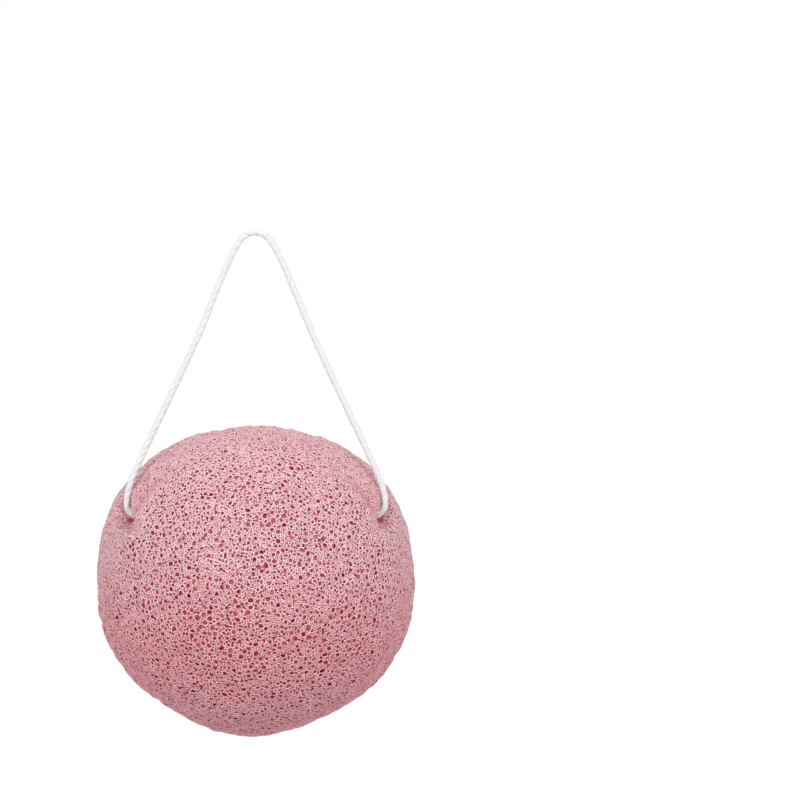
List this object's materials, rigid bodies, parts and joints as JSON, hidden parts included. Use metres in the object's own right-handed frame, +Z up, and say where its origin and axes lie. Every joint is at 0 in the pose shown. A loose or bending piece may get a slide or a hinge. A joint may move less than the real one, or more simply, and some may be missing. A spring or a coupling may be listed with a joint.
{
  "type": "konjac sponge",
  "caption": "Half-ball facial cleansing sponge of porous pink konjac foam with a flat back, threaded on a twisted cotton loop that hangs it up to dry.",
  "frame": {"origin": "hanging point: the underside of the cord at the top of the loop, where a hook bears on it", "axes": "+Z up along the hanging loop, the dome faces -Y, the flat back faces +Y, +X runs along the cord tunnel through the foam"},
  "size_m": [0.08, 0.043, 0.129],
  "materials": {
    "foam": "moist open-cell konjac foam, matte",
    "cotton": "twisted white cotton, matte"
  },
  "bodies": {
    "loop": {"cord_loop": "cotton"},
    "sponge": {"sponge_body": "foam", "cord_run_left": "cotton", "cord_run_right": "cotton", "cord_knot": "cotton"}
  },
  "joints": [
    {"name": "sponge_tilt", "type": "hinge", "parent": "loop", "child": "sponge", "pos_m": [0, 0, -0.072], "axis": [1, 0, 0], "range_deg": [-100, 15]}
  ]
}
